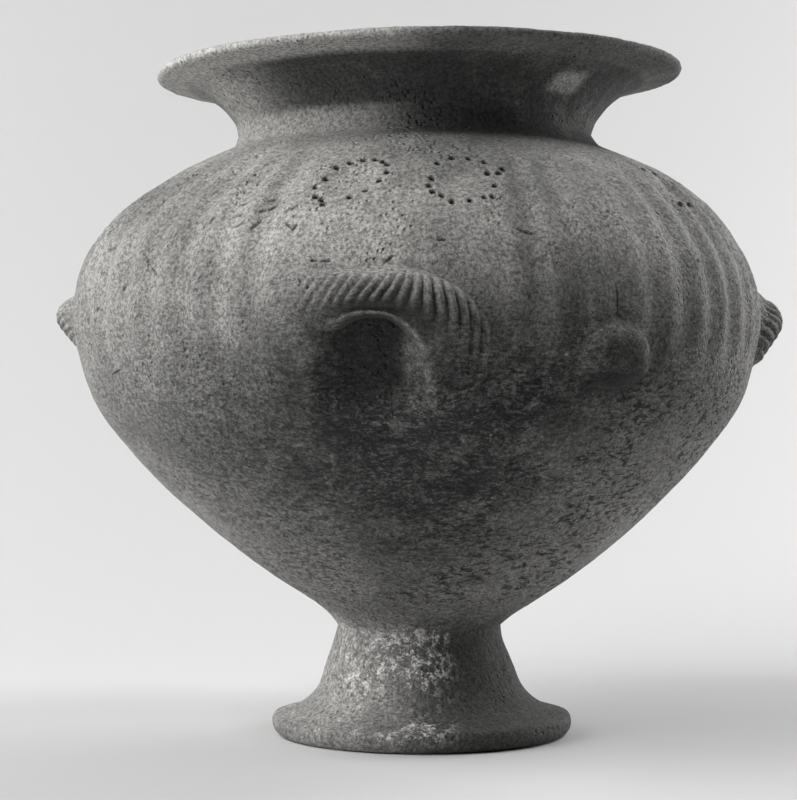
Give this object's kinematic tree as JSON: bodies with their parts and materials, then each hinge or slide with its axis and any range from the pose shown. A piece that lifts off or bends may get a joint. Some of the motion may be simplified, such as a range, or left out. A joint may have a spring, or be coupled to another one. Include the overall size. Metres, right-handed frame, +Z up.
{
  "type": "impasto olla",
  "caption": "Wide-bellied hollow clay jar on a trumpet foot, with a flaring rim, a fluted shoulder, rope-notched arch handles and a small boss, for storing or serving.",
  "frame": {"origin": "Middle of the bounding box's footprint, on the plane that the foot stands on.", "axes": "+Z up through the mouth, the front handle faces -Y and the boss lies to its +X side."},
  "size_m": [0.3654, 0.3725, 0.3324],
  "materials": {
    "clay": "unglazed coarse impasto, worn and mottled"
  },
  "bodies": {
    "root": {"olla": "clay"}
  },
  "joints": []
}
